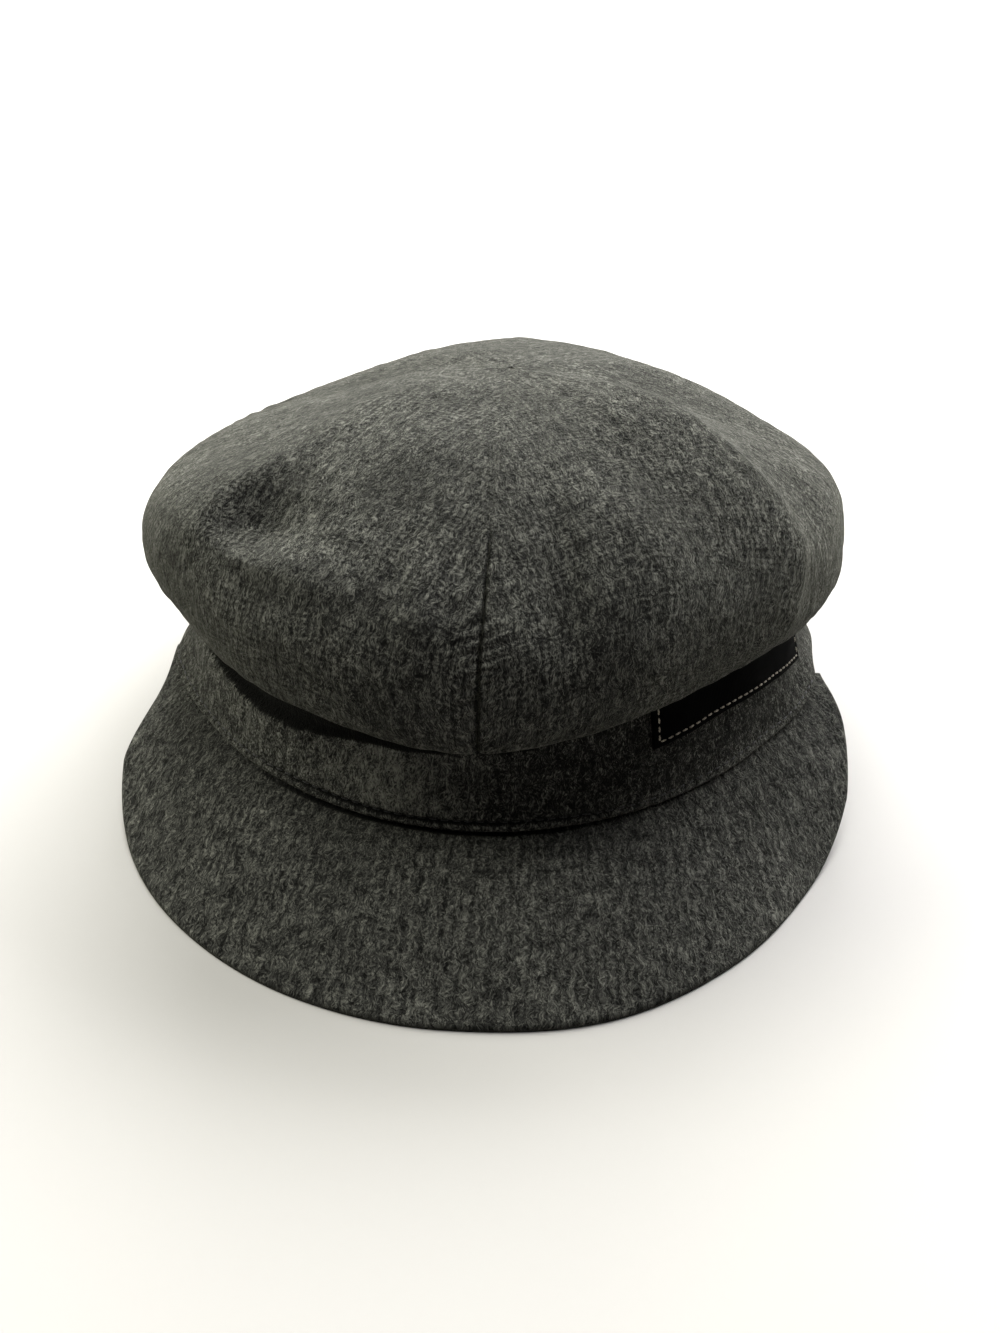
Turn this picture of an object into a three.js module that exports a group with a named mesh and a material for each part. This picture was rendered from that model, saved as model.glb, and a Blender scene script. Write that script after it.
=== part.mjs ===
import * as THREE from 'three';

// A baker boy cap of six gores, resting on a flat surface with its peak towards -Y.
// Lengths are in millimetres, angles in degrees, and +Z is up. The cap is worked out upright,
// with z = 0 at the band's lower edge, then leaned back onto the rear of the band.
// Angles run round the band from the front towards the wearer's left, which is +X.

// Head band, measured to its outside
const bandHalfWidth = 94.5;
const bandHalfLength = 97;
const bandTopHalfWidth = 85;
const bandTopHalfLength = 92;
const bandHeight = 38;
const bandLowerArch = 11.7;
const bandUpperArch = 9;
const bandWall = 2.4;

// How the cap rests: its lean, and how far the cloth is pressed flat where it touches the surface
const leanAngle = 6;
const pressDepth = 0.8;

// Crown
const crownWall = 1.8;
const crownLap = 0.4;
const foldRadius = 3.5;
const foldInnerTurn = 55;
const foldOuterTurn = 70;
const neckShare = 0.4;
const neckDrop = 3;
const apexX = 2;
const apexY = 6;
const apexZ = 93;
const tipHeight = 6.975;
const grooveHalfWidth = 3;
const ridgeRounding = 1;
const ridgeStart = 3.2;
const ridgeFull = 4.4;
const tipInner = 3;
const tipOuter = 16;

// Peak and label
const peakWall = 3;
const peakEnd = 80;
const peakCamber = 2.5;
const liftStart = 45;
const labelWall = 1;
const labelStart = 30;
const labelEnd = 72;
const labelFoot = 0.43;
const labelFootDrop = 0.11;
const labelHeight = 0.36;

// Neighbouring pieces keep this gap along their seams
const seamGap = 0.3;

// The crown's sections, two to each gore: a seam, then the middle of the gore beside it.
// An Out is the distance beyond the band's top edge, and a Z the height above its lower edge.
// The fold hangs lowest, at foldZ, and lies foldTurn degrees round from the section's angle.
// The belly stands out furthest, and the crest lies inside the shoulder, at crestShare of the
// shoulder's radius.
const sectionColumns = [
  'angle', 'foldTurn', 'foldOut', 'foldZ', 'bellyOut', 'bellyZ',
  'shoulderOut', 'shoulderZ', 'crestShare', 'crestZ',
];
const sectionRows = [
  [2, 0, 12, 27, 16.5, 49, 9, 62.5, 0.52, 88],
  [31, -3, 8, 32.5, 16, 50, 9, 65, 0.56, 88.5],
  [60, -9, 8, 37, 16, 49, 13, 64, 0.6, 89.5],
  [92, -4, 9, 34, 14.5, 52, 9, 65.5, 0.51, 84.5],
  [122, 0, 8.5, 32, 16, 51, 5.5, 62, 0.53, 85.5],
  [152, 0, 12, 29, 16.5, 50, 9, 64, 0.52, 84.5],
  [182, 0, 12, 27, 17, 49, 12, 66, 0.52, 85],
  [212, 0, 12, 29, 17.5, 51, 6.5, 62, 0.53, 85],
  [243, 0, 9, 32, 18, 51, 5.5, 62.5, 0.5, 81.7],
  [273, 0, 10, 32.5, 18, 51, 9, 64.5, 0.53, 83.5],
  [304, 0, 8, 34, 17, 53, 12, 67.5, 0.53, 86.5],
  [332, 0, 9.5, 30.5, 16.5, 51, 8, 64, 0.56, 88],
];

// Each seam's groove, the ridge that its turned-in cloth raises, and how far the ridge reaches into
// the gore before the seam and the gore after it
const seamColumns = ['groove', 'ridge', 'before', 'after'];
const seamRows = [
  [0.7, 0.5, 5, 5],
  [0, 2.2, 7, 9],
  [0.7, 0.8, 8, 8],
  [0.7, 0.8, 8, 8],
  [0.7, 0.8, 8, 8],
  [0, 2.2, 14, 6],
];

// Soft dents in the front gores, and puffs where the depth is negative. A section counts along
// sectionRows, and a height along a section's profile: 4 at the belly, 5 at the shoulder, 7 at the apex.
const dentColumns = ['section', 'height', 'sectionReach', 'heightReach', 'depth'];
const dentRows = [
  [0.42, 5, 0.13, 0.7, 3],
  [0.95, 5.3, 0.2, 0.4, -1.6],
  [1.55, 5.1, 0.25, 0.4, 1.8],
  [10.5, 5.4, 0.3, 0.25, 4],
  [10.9, 5, 0.4, 0.2, -2.8],
  [11.68, 4.9, 0.12, 0.5, -2],
];

// How far the peak reaches beyond the band, level with the surface below, to the wearer's left and right
const peakColumns = ['angle', 'left', 'right'];
const peakRows = [
  [0, 54, 54],
  [15, 53, 51],
  [30, 43.5, 43.5],
  [45, 31, 33.5],
  [60, 21.5, 21],
  [70, 13, 7],
  [peakEnd, 1.5, 1.5],
];

// Mesh steps: band facets, gore columns as shares of its width, and heights up a section's profile
const bandStep = 6;
const goreShares = [0, 0.04, 0.1, 0.2, 0.35, 0.5, 0.65, 0.8, 0.9, 0.96, 1];
const goreHeights = [
  0, 0.5, 1, 1.5, 2, 2.33, 2.67, 3, 3.35, 3.7, 4, 4.35, 4.7, 5, 5.3, 5.6, 6, 6.4, 6.75, tipHeight,
];
const bandRows = 5;
const labelRows = 3;
const peakSteps = 10;
const rimSteps = 5;

const goreNames = ['front_left', 'side_left', 'back_left', 'back_right', 'side_right', 'front_right'];
const fullTurn = 360;
const radians = THREE.MathUtils.degToRad;
const { lerp, smoothstep } = THREE.MathUtils;

function readTable(columns, rows) {
  return rows.map((row) => Object.fromEntries(columns.map((name, k) => [name, row[k]])));
}

const sections = readTable(sectionColumns, sectionRows);
const seams = readTable(seamColumns, seamRows);
const dents = readTable(dentColumns, dentRows);
const peakTable = readTable(peakColumns, peakRows);
const sectionAngle = radians(fullTurn / sections.length);

// Even steps from one value to another, both ends included
function steps(from, to, count) {
  return Array.from({ length: count + 1 }, (_, k) => lerp(from, to, k / count));
}

// Radius of an ellipse at an angle measured from its length
function ellipseRadius(angle, halfWidth, halfLength) {
  const across = halfLength * Math.sin(radians(angle));
  const along = halfWidth * Math.cos(radians(angle));
  return (halfWidth * halfLength) / Math.hypot(across, along);
}

function outward(angle) {
  return new THREE.Vector3(Math.sin(radians(angle)), -Math.cos(radians(angle)), 0);
}

function around(angle, radius, z) {
  return outward(angle).multiplyScalar(radius).setZ(z);
}

// Leans an upright point back about the band's rear lower edge, and presses it flat at the surface
function rest(point) {
  const lean = radians(leanAngle);
  const ahead = point.y - bandHalfLength;
  const y = bandHalfLength + ahead * Math.cos(lean) + point.z * Math.sin(lean);
  const z = point.z * Math.cos(lean) - ahead * Math.sin(lean) - pressDepth;
  return new THREE.Vector3(point.x, y, Math.max(z, 0));
}

// The band's outer surface: share 0 is its lower edge and share 1 its upper edge.
// Both edges arch up at the sides of the head.
function bandTopZ(angle) {
  return bandHeight + bandUpperArch * Math.sin(radians(angle)) ** 2;
}

function bandPoint(angle, share, out) {
  const halfWidth = lerp(bandHalfWidth, bandTopHalfWidth, share);
  const halfLength = lerp(bandHalfLength, bandTopHalfLength, share);
  const radius = ellipseRadius(angle, halfWidth, halfLength) + out;
  const lowerZ = bandLowerArch * Math.sin(radians(angle)) ** 2;
  return around(angle, radius, lerp(lowerZ, bandTopZ(angle), share));
}

// A smooth curve through four values, from the second to the third
function catmullRom(a, b, c, d, t) {
  const linear = c - a;
  const square = 2 * a - 5 * b + 4 * c - d;
  const cube = 3 * (b - c) + d - a;
  return b + 0.5 * t * (linear + t * (square + t * cube));
}

// One column of the section table at any place round the crown. Angles keep growing past a full turn.
function columnAt(name, place) {
  const first = Math.floor(place);
  const [a, b, c, d] = [-1, 0, 1, 2].map((step) => {
    const row = first + step;
    const turns = Math.floor(row / sections.length);
    const value = sections[row - turns * sections.length][name];
    return name === 'angle' ? value + turns * fullTurn : value;
  });
  return catmullRom(a, b, c, d, place - first);
}

// The points that one section's profile runs through, from the band's top edge to the apex.
// x is the distance from the crown's axis and y the height.
function profilePoints(place) {
  const at = (name) => columnAt(name, place);
  const edgeAt = (angle) => ellipseRadius(angle, bandTopHalfWidth, bandTopHalfLength);
  const foldAngle = at('angle') + at('foldTurn');
  const edge = edgeAt(foldAngle);
  const top = bandTopZ(foldAngle);
  const shoulder = edgeAt(at('angle')) + at('shoulderOut');
  const foldAt = (turn) => new THREE.Vector2(
    edge + at('foldOut') + foldRadius * Math.sin(radians(turn)),
    at('foldZ') + foldRadius * (1 - Math.cos(radians(turn))),
  );
  return [
    new THREE.Vector2(edge + crownLap, top + crownLap),
    new THREE.Vector2(edge + crownLap + neckShare * (at('foldOut') - foldRadius), top - neckDrop),
    foldAt(-foldInnerTurn),
    foldAt(foldOuterTurn),
    new THREE.Vector2(edge + at('bellyOut'), at('bellyZ')),
    new THREE.Vector2(shoulder, at('shoulderZ')),
    new THREE.Vector2(shoulder * at('crestShare'), at('crestZ')),
    new THREE.Vector2(0, apexZ),
  ];
}

// A centripetal curve through the profile's points. It runs straight off the band's edge and
// level across the crown's axis.
function profileAt(place, height) {
  const points = profilePoints(place);
  const last = points.length - 1;
  const before = points[0].clone().multiplyScalar(2).sub(points[1]);
  const after = new THREE.Vector2(-points[last - 1].x, points[last - 1].y);
  const all = [before, ...points, after];
  const k = Math.min(Math.floor(height), last - 1);
  const t = height - k;
  const [a, b, c, d] = all.slice(k, k + 4);
  const ab = Math.sqrt(a.distanceTo(b));
  const bc = Math.sqrt(b.distanceTo(c));
  const cd = Math.sqrt(c.distanceTo(d));
  const hermite = (p, q, r, s) => {
    const startSlope = r - q + bc * ((q - p) / ab - (r - p) / (ab + bc));
    const endSlope = r - q + bc * ((s - r) / cd - (s - q) / (bc + cd));
    const square = 3 * (r - q) - 2 * startSlope - endSlope;
    const cube = 2 * (q - r) + startSlope + endSlope;
    return q + t * (startSlope + t * (square + t * cube));
  };
  return new THREE.Vector2(hermite(a.x, b.x, c.x, d.x), hermite(a.y, b.y, c.y, d.y));
}

// The crown's outside before its seams and dents. The fold's turn fades out from the belly up, and
// the apex stands a little off the band's axis.
function crownPoint(place, height) {
  const profile = profileAt(place, height);
  const shift = smoothstep(height, 4, 7);
  const turned = 1 - smoothstep(height, 4, 6);
  const angle = columnAt('angle', place) + turned * columnAt('foldTurn', place);
  const point = around(angle, profile.x, profile.y);
  return point.add(new THREE.Vector3(apexX * shift, apexY * shift, 0));
}

function crownNormal(place, height) {
  const step = 0.01;
  const upper = Math.min(height + step, tipHeight);
  const lower = Math.max(height - step, 0);
  const across = crownPoint(place + step, height).sub(crownPoint(place - step, height));
  const along = crownPoint(place, upper).sub(crownPoint(place, lower));
  return across.cross(along).normalize();
}

// Height of the surface over the smooth crown: the groove and ridge of the nearest seam, the dents
// and the puffs. Ridges start above the fold and die away towards the apex.
function crownRelief(place, height) {
  const radius = profileAt(place, height).x;
  const nearest = Math.round(place / 2);
  const seam = seams[nearest % seams.length];
  const offset = (place - 2 * nearest) * sectionAngle * radius;
  const reach = offset < 0 ? seam.before : seam.after;
  const far = (Math.hypot(offset, ridgeRounding) - ridgeRounding) / reach;
  const rise = smoothstep(height, ridgeStart, ridgeFull) * smoothstep(radius, tipInner, tipOuter);
  const raised = seam.ridge * rise * Math.exp(-far);
  const sunk = seam.groove * Math.exp(-((offset / grooveHalfWidth) ** 2));
  return dents.reduce((sum, dent) => {
    const across = (place - dent.section) / dent.sectionReach;
    const along = (height - dent.height) / dent.heightReach;
    return sum - dent.depth * Math.exp(-across * across - along * along);
  }, raised - sunk);
}

// A closed body through rings of points. Each ring closes on itself. The rings join end to end as a
// loop, or else both end rings are closed by joining their points in pairs from the two ends.
function closedBody(rings, isLoop) {
  const size = rings[0].length;
  const triangles = [];
  const quad = (a, b, c, d) => triangles.push(a, b, c, a, c, d);
  const joins = isLoop ? rings.length : rings.length - 1;
  for (let i = 0; i < joins; i += 1) {
    const here = i * size;
    const next = ((i + 1) % rings.length) * size;
    for (let k = 0; k < size; k += 1) {
      const other = (k + 1) % size;
      quad(here + k, next + k, next + other, here + other);
    }
  }
  if (!isLoop) {
    const end = (rings.length - 1) * size;
    for (let k = 0; k < size / 2 - 1; k += 1) {
      const mirror = size - 1 - k;
      quad(k, k + 1, mirror - 1, mirror);
      quad(end + mirror, end + mirror - 1, end + k + 1, end + k);
    }
  }
  const points = rings.flat();
  const volume = triangles.reduce((sum, _, k) => {
    if (k % 3 !== 0) return sum;
    const [a, b, c] = [0, 1, 2].map((step) => points[triangles[k + step]]);
    return sum + a.dot(new THREE.Vector3().crossVectors(b, c)) / 6;
  }, 0);
  const geometry = new THREE.BufferGeometry().setFromPoints(points);
  geometry.setIndex(volume < 0 ? triangles.reverse() : triangles);
  geometry.computeVertexNormals();
  return geometry;
}

function gore(index) {
  const start = 2 * index;
  const wallPoint = (share, height, depth) => {
    const inset = seamGap / 2 / (sectionAngle * profileAt(start + 1, height).x);
    const place = start + lerp(inset, 2 - inset, share);
    const lift = crownRelief(place, height) - depth;
    return rest(crownPoint(place, height).addScaledVector(crownNormal(place, height), lift));
  };
  const rings = goreShares.map((share) => [
    ...goreHeights.map((height) => wallPoint(share, height, 0)),
    ...goreHeights.toReversed().map((height) => wallPoint(share, height, crownWall)),
  ]);
  return closedBody(rings, false);
}

function headBand() {
  const shares = steps(0, 1, bandRows);
  const angles = steps(0, fullTurn, fullTurn / bandStep).slice(0, -1);
  const rings = angles.map((angle) => [
    ...shares.map((share) => rest(bandPoint(angle, share, 0))),
    ...shares.toReversed().map((share) => rest(bandPoint(angle, share, -bandWall))),
  ]);
  return closedBody(rings, true);
}

// The label lies on the outside of the band. Its foot runs down a little towards the side.
function label() {
  const angles = steps(labelStart, labelEnd, (labelEnd - labelStart) / bandStep);
  const rings = angles.map((angle) => {
    const foot = labelFoot - (labelFootDrop * (angle - labelStart)) / (labelEnd - labelStart);
    const shares = steps(foot, foot + labelHeight, labelRows);
    return [
      ...shares.map((share) => rest(bandPoint(angle, share, seamGap))),
      ...shares.toReversed().map((share) => rest(bandPoint(angle, share, seamGap + labelWall))),
    ];
  });
  return closedBody(rings, false);
}

// A smooth curve through the peak table, level across the front
function peakReach(angle) {
  const side = Math.abs(angle);
  const sideName = angle < 0 ? 'right' : 'left';
  const found = peakTable.findIndex((row) => row.angle >= side);
  const k = Math.max(found, 1) - 1;
  const reachAt = (row) => peakTable[Math.min(Math.abs(row), peakTable.length - 1)][sideName];
  const share = (side - peakTable[k].angle) / (peakTable[k + 1].angle - peakTable[k].angle);
  return catmullRom(reachAt(k - 1), reachAt(k), reachAt(k + 1), reachAt(k + 2), share);
}

// One section through the peak: its top from the band outwards, round the rim, and back underneath.
// The rim lies on the surface in front and lifts to the band's edge at both ends.
function peakRing(angle) {
  const reach = peakReach(angle);
  const wall = Math.min(peakWall, reach / 2);
  const edge = rest(bandPoint(angle, 0, 0));
  const lift = smoothstep(Math.abs(angle), liftStart, peakEnd);
  const innerZ = edge.z + wall / 2;
  const rimZ = lerp(wall / 2, edge.z, lift);
  const rimOut = reach - wall / 2;
  const slope = (rimZ - innerZ) / (rimOut - seamGap);
  const thickness = (wall / 2) * Math.hypot(1, slope);
  const lean = Math.atan(slope);
  const camber = (peakCamber * reach) / peakTable[0].left;
  const faceAt = (share, side) => {
    const out = lerp(seamGap, rimOut - side * (wall / 2) * Math.sin(lean), share);
    const rise = camber * Math.sin(Math.PI * share);
    return [out, innerZ + slope * (out - seamGap) + rise + side * thickness];
  };
  const rimAt = (turn) => [
    rimOut + (wall / 2) * Math.cos(lean + radians(turn)),
    rimZ + (wall / 2) * Math.sin(lean + radians(turn)),
  ];
  const shares = steps(0, 1, peakSteps);
  const section = [
    ...shares.map((share) => faceAt(share, 1)),
    ...steps(90, -90, rimSteps).slice(1, -1).map(rimAt),
    ...shares.toReversed().map((share) => faceAt(share, -1)),
  ];
  return section.map(([out, z]) => {
    const point = edge.clone().addScaledVector(outward(angle), out);
    return point.setZ(Math.max(z - pressDepth * (1 - lift), 0));
  });
}

function peak() {
  const turns = Math.floor(peakEnd / bandStep);
  const angles = [-peakEnd, ...steps(-turns * bandStep, turns * bandStep, 2 * turns), peakEnd];
  return closedBody(angles.map(peakRing), false);
}

const crownWool = { color: '#6a6a64', roughness: 0.95, metalness: 0 };
const bandWool = { color: '#55554f', roughness: 0.95, metalness: 0 };
const peakWool = { color: '#5d5d58', roughness: 0.95, metalness: 0 };
const labelCloth = { color: '#17171a', roughness: 0.7, metalness: 0 };

function piece(name, geometry, look) {
  const mesh = new THREE.Mesh(geometry, new THREE.MeshStandardMaterial(look));
  mesh.name = name;
  return mesh;
}

const cap = new THREE.Group();
goreNames.forEach((name, index) => cap.add(piece(`crown_${name}`, gore(index), crownWool)));
cap.add(piece('head_band', headBand(), bandWool));
cap.add(piece('peak', peak(), peakWool));
cap.add(piece('label', label(), labelCloth));

// The origin is under the middle of the cap's box, on the surface that it rests on
const middle = new THREE.Box3().setFromObject(cap).getCenter(new THREE.Vector3());
cap.position.set(-middle.x, -middle.y, 0);
cap.updateMatrixWorld(true);

export default cap;
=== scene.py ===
import math

import bpy
import numpy as np
from mathutils import Matrix, Vector


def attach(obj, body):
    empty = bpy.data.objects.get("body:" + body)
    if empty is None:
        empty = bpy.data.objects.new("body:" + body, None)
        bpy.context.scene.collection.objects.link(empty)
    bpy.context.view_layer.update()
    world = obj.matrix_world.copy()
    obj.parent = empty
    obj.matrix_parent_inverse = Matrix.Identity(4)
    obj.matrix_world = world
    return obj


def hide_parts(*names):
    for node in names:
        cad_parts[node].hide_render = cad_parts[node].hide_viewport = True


# Baker boy cap in brushed wool, six gores on a head band, with a peak and a ribbon label.
# Shapes are worked out upright in millimetres, then leaned back and set down as the frame has them.

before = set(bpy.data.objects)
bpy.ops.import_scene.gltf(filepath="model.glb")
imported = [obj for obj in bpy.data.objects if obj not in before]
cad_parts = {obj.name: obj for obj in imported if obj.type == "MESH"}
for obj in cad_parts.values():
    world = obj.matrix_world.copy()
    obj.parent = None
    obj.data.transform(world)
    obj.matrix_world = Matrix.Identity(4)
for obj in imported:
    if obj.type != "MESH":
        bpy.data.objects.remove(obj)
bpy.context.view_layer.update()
print("frame loaded:", sorted(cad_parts))

metresPerMm = 0.001

# The cap's own sizes in mm and degrees, the same as the frame's
cap = {
    "bandHalfWidth": 94.5,
    "bandHalfLength": 97.0,
    "bandTopHalfWidth": 85.0,
    "bandTopHalfLength": 92.0,
    "bandHeight": 38.0,
    "bandLowerArch": 11.7,
    "bandUpperArch": 9.0,
    "bandWall": 2.4,
    "leanAngle": 6.0,
    "pressDepth": 0.8,
    "middleX": 0.56,
    "middleY": 17.583,
    "seamGap": 0.3,
}

# Where each piece is cut from the cloth, in mm, so that no two show the same patch of it
cut = {
    "gore": 260.0,            # from each gore to the next
    "goreInside": 130.0,
    "band": 1700.0,
    "peak": 2600.0,
    "peakUnder": 300.0,
}


def smoothStep(x, low, high):
    # 3t^2 - 2t^3, with t going from 0 at low to 1 at high
    t = np.clip((x - low) / (high - low), 0.0, 1.0)
    return t * t * (3.0 - 2.0 * t)


def window(x, start, full, fade, end):
    # a smooth step up from start to full, times a smooth step down from fade to end
    return smoothStep(x, start, full) * (1 - smoothStep(x, fade, end))


def bump(x, width):
    # bell curve: e to the minus (x / width) squared
    return np.exp(-((x / width) ** 2))


def catmullRom(a, b, c, d, t):
    # cubic through b and c, with slopes (c - a) / 2 and (d - b) / 2
    return b + 0.5 * t * (c - a + t * (2 * a - 5 * b + 4 * c - d + t * (3 * (b - c) + d - a)))


def ellipseRadius(angle, halfWidth, halfLength):
    # product of the half axes over the length of (halfLength sin, halfWidth cos)
    turn = np.radians(angle)
    return halfWidth * halfLength / np.hypot(halfLength * np.sin(turn), halfWidth * np.cos(turn))


def around(angle, radius, z):
    # (radius sin, -radius cos, z): an angle from the front (-Y) towards the wearer's left (+X)
    turn = np.radians(angle)
    return np.stack([radius * np.sin(turn), -radius * np.cos(turn), z + 0.0 * radius], -1)


def rest(points):
    # turn by leanAngle about the band's rear lower edge, drop by pressDepth, flatten at z = 0
    lean = np.radians(cap["leanAngle"])
    ahead = points[..., 1] - cap["bandHalfLength"]
    y = cap["bandHalfLength"] + ahead * np.cos(lean) + points[..., 2] * np.sin(lean)
    z = points[..., 2] * np.cos(lean) - ahead * np.sin(lean) - cap["pressDepth"]
    return np.stack([points[..., 0], y, np.maximum(z, 0.0)], -1)


def place(points):
    # from the leaned cap to the frame, whose origin is under the middle of the cap's box
    return points + np.array([cap["middleX"], cap["middleY"], 0.0])


def unitVectors(v):
    # each vector over its own length
    return v / np.maximum(np.linalg.norm(v, axis=-1, keepdims=True), 1e-9)


def waveNoise(points, size, seed, waves=26, shortest=0.7, longest=1.5):
    # sum of sin(2 pi (way . point) / length + phase), with ways and phases drawn from the seed and
    # lengths of shortest to longest times size in mm, scaled to about -1..1
    draw = np.random.default_rng(seed)
    ways = unitVectors(draw.normal(size=(waves, 3)))
    lengths = size * draw.uniform(shortest, longest, waves)
    phases = draw.uniform(0, 2 * np.pi, waves)
    total = np.sin(2 * np.pi * (points @ ways.T) / lengths + phases).sum(-1)
    return total * np.sqrt(2.0 / waves) * 0.5


def unevenness(points, piece, slackShare):
    # a piece's lumps plus slackShare of its slackness, each its height times waves of its size
    lumps = waveNoise(points, piece["lumpSize"], piece["lumpSeed"])
    slack = waveNoise(points, piece["slackSize"], piece["slackSeed"])
    return piece["lumpHeight"] * lumps + piece["slackHeight"] * slackShare * slack


# Meshes from rings of points


def addObject(name, data):
    # a new object at the origin, in the scene
    thing = bpy.data.objects.new(name, data)
    bpy.context.scene.collection.objects.link(thing)
    return thing


def meshPiece(name, points, faces, cornerUv):
    # points (n, 3) in mm times metresPerMm, faces (m, 4) of point numbers, a uv for each corner
    mesh = bpy.data.meshes.new(name)
    corners = faces.shape[1]
    mesh.vertices.add(len(points))
    mesh.vertices.foreach_set("co", (points * metresPerMm).astype(np.float32).ravel())
    mesh.loops.add(faces.size)
    mesh.loops.foreach_set("vertex_index", np.ascontiguousarray(faces, np.int32).ravel())
    mesh.polygons.add(len(faces))
    mesh.polygons.foreach_set("loop_start", np.arange(0, faces.size, corners, dtype=np.int32))
    mesh.polygons.foreach_set("use_smooth", np.ones(len(faces), bool))
    layer = mesh.uv_layers.new(name="clothMm")
    layer.data.foreach_set("uv", np.ascontiguousarray(cornerUv, np.float32).ravel())
    mesh.update(calc_edges=True)
    mesh.validate()
    return addObject(name, mesh)


def closedBody(name, rings, uv, isLoop, pressed=None):
    # quads from each ring to the next. Rings (n, size, 3) each close on themselves; they join end
    # to end as a loop, or else both end rings are closed across. uv (n + isLoop, size + 1, 2) is in
    # mm of cloth. pressed (n, size) is painted shade, 1 at its darkest, in seams, furrows
    # and under the crown, 0 where none is painted, and painted light just under 0. The volume is
    # the sum of the corners' triple products over 6: below 0 the faces point inwards, and are
    # turned.
    n, size = rings.shape[:2]
    joins = n if isLoop else n - 1
    i, k = np.meshgrid(np.arange(joins), np.arange(size), indexing="ij")
    nextI, nextK = (i + 1) % n, (k + 1) % size
    quads = np.stack([i * size + k, nextI * size + k, nextI * size + nextK, i * size + nextK], -1)
    wide = size + 1
    corner = i * wide + k
    uvQuads = np.stack([corner, corner + wide, corner + wide + 1, corner + 1], -1)
    quads, uvQuads = quads.reshape(-1, 4), uvQuads.reshape(-1, 4)
    if not isLoop:
        a = np.arange(size // 2 - 1)
        first = np.stack([a, a + 1, size - 2 - a, size - 1 - a], -1)
        last = first[:, ::-1]
        quads = np.concatenate([quads, first, last + (n - 1) * size])
        uvQuads = np.concatenate([uvQuads, first, last + (n - 1) * wide])
    points = rings.reshape(-1, 3)
    corners = points[quads]
    halves = np.concatenate([corners[:, [0, 1, 2]], corners[:, [0, 2, 3]]])
    volume = np.einsum("ij,ij->", halves[:, 0], np.cross(halves[:, 1], halves[:, 2])) / 6
    if volume < 0:
        quads, uvQuads = quads[:, ::-1], uvQuads[:, ::-1]
    piece = meshPiece(name, points, quads, uv.reshape(-1, 2)[uvQuads.ravel()])
    # painted shade and painted light, kept on the points for the wool's colour
    if pressed is not None:
        layer = piece.data.attributes.new("pressed", "FLOAT", "POINT")
        layer.data.foreach_set("value", np.ascontiguousarray(pressed, np.float32).ravel())
    return piece


# Crown. Places on it are "where", in sections round it with a seam at each even one, and "height",
# in knots up the profile from the band's edge at 0 to the apex at 7.

crown = {
    "wall": 1.8,
    "lap": 0.4,
    "foldRadius": 3.5,
    "foldInnerTurn": 55.0,    # from the fold's lowest line up to the knots on its two sides
    "foldOuterTurn": 70.0,
    "neckShare": 0.4,
    "neckDrop": 3.0,
    "apex": (2.0, 6.0, 93.0),
    "turnFade": (4, 6),       # heights over which the fold's turn fades out
    "apexShift": (4, 7),      # and over which the profile moves to the apex
    "tipHeight": 6.992,       # the gores end just short of the apex
    "normalStep": 0.01,       # sections and heights between the points that give a normal
    "lastHeight": 6.999,
    "grooveHalfWidth": 2.6,
    "creaseHalfWidth": 0.42,  # the sharp line where two gores roll into the seam
    "napCover": (5.1, 5.6),   # over these heights the nap closes over the seams
    "footShare": 0.35,        # share of a seam's depth at its foot, which grows to all of it
    "footRise": (2.4, 3.6),
    "fluffEven": 0.65,        # where fluff lies over the crease, it is less deep
    "fluffSize": 3.2,
    "fluffSeed": 13,
    "ridgeRound": 2.0,        # mm over which a ridge's top is rounded
    "ridgeFade": (14, 44),    # mm from the apex
    "ridgeRise": (3.2, 4.4),
    "ridgeEnd": (0.5, 1.0),   # sections from the seam
    "spanLength": 22.0,       # mm of cloth in a step of height, about
    "puckerDepth": 0.32,      # little gathers that slant away from the stitches
    "puckerLength": 4.4,
    "puckerReach": 7.0,
    "puckerSlant": 0.5,
    "puckerStray": 1.3,       # they come a little early and late, as a hand pulls the thread
    "puckerStrayTurn": 3.1,
    "lumpHeight": 0.16,
    "lumpSize": 7.0,
    "lumpSeed": 11,
    "lumpRise": (1.6, 3.2),   # heights over which lumps and slackness begin
    "slackHeight": 0.5,       # broad slackness of the cloth
    "slackSize": 38.0,
    "slackSeed": 12,
    "slackTip": (3, 16),      # mm from the apex
    "columns": 112,
    "columnCrowd": 0.86,      # columns crowd towards the seams, by this share of a quarter turn
    "rows": 176,
    "lowRows": 22,            # wider rows up to this height, out of sight under the fold
    "lowHeight": 2.2,
    "seamInset": 0.03,        # mm from the seam to each gore's edge
    "edgeCloth": 2.0,         # mm of cloth over the wall's edge
    "grainDip": 13.0,         # how far a thread runs down from the gore's middle to its seam
    "grainReach": 60.0,
}
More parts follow.
